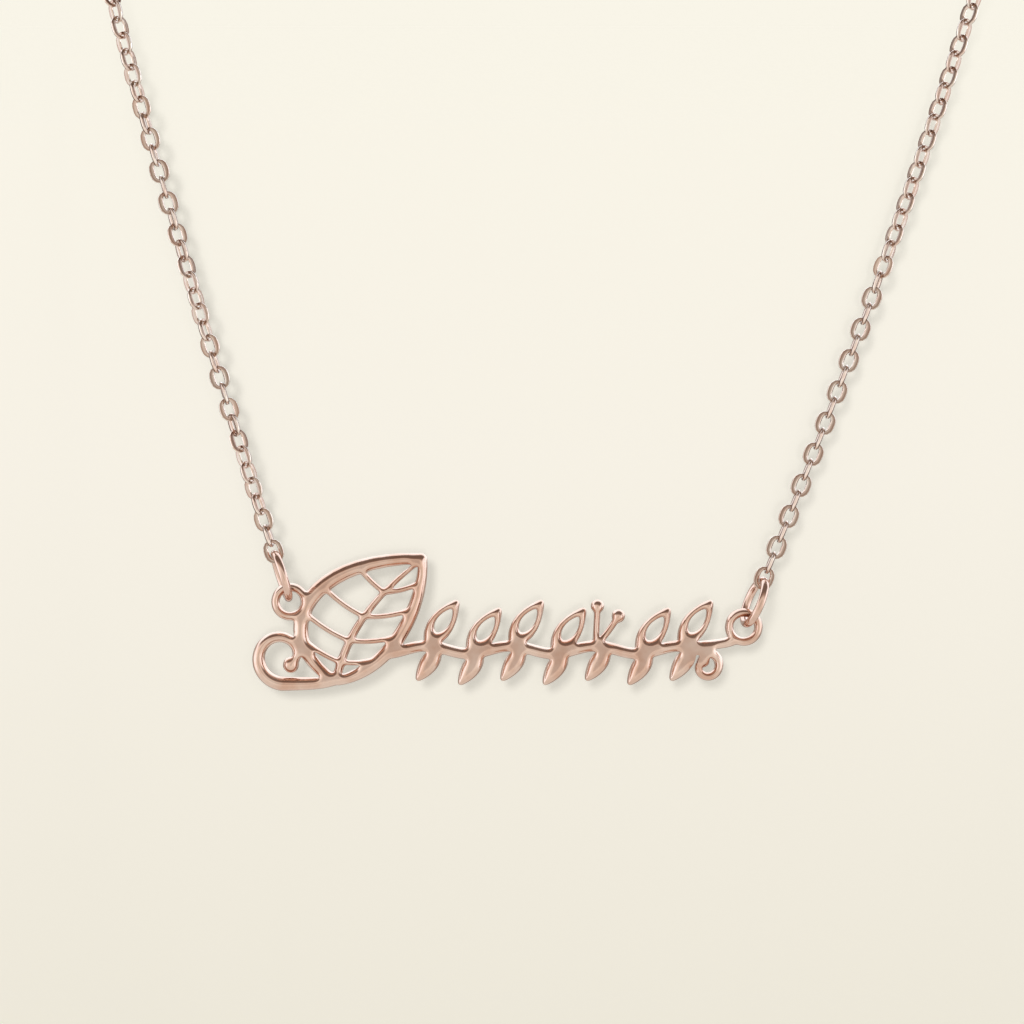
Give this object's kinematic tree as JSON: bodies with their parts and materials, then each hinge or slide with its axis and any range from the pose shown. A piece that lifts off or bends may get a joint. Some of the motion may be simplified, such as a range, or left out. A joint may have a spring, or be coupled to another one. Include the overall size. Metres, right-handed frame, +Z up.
{
  "type": "nameplate necklace",
  "caption": "Necklace of fine oval cable chain with a pierced leaf-and-vine plate hung by its two eyelets from jump rings, closed by a plain clasp at the nape.",
  "frame": {"origin": "the middle of the clasp, where the necklace sits on the nape", "axes": "+X to the right as seen from the front, which is the wearer's left; +Y from the plate back towards the nape; +Z up. The plate hangs in an upright plane facing -Y."},
  "size_m": [0.1006, 0.0617, 0.1216],
  "materials": {
    "plate_metal": "polished, rose gold plated",
    "wire_metal": "polished, rose gold plated",
    "chain_metal": "polished, rose gold plated"
  },
  "bodies": {
    "root": {"nameplate": "plate_metal", "jump_ring_left": "wire_metal", "jump_ring_right": "wire_metal", "chain_left": "chain_metal", "chain_right": "chain_metal", "clasp": "wire_metal"}
  },
  "joints": []
}
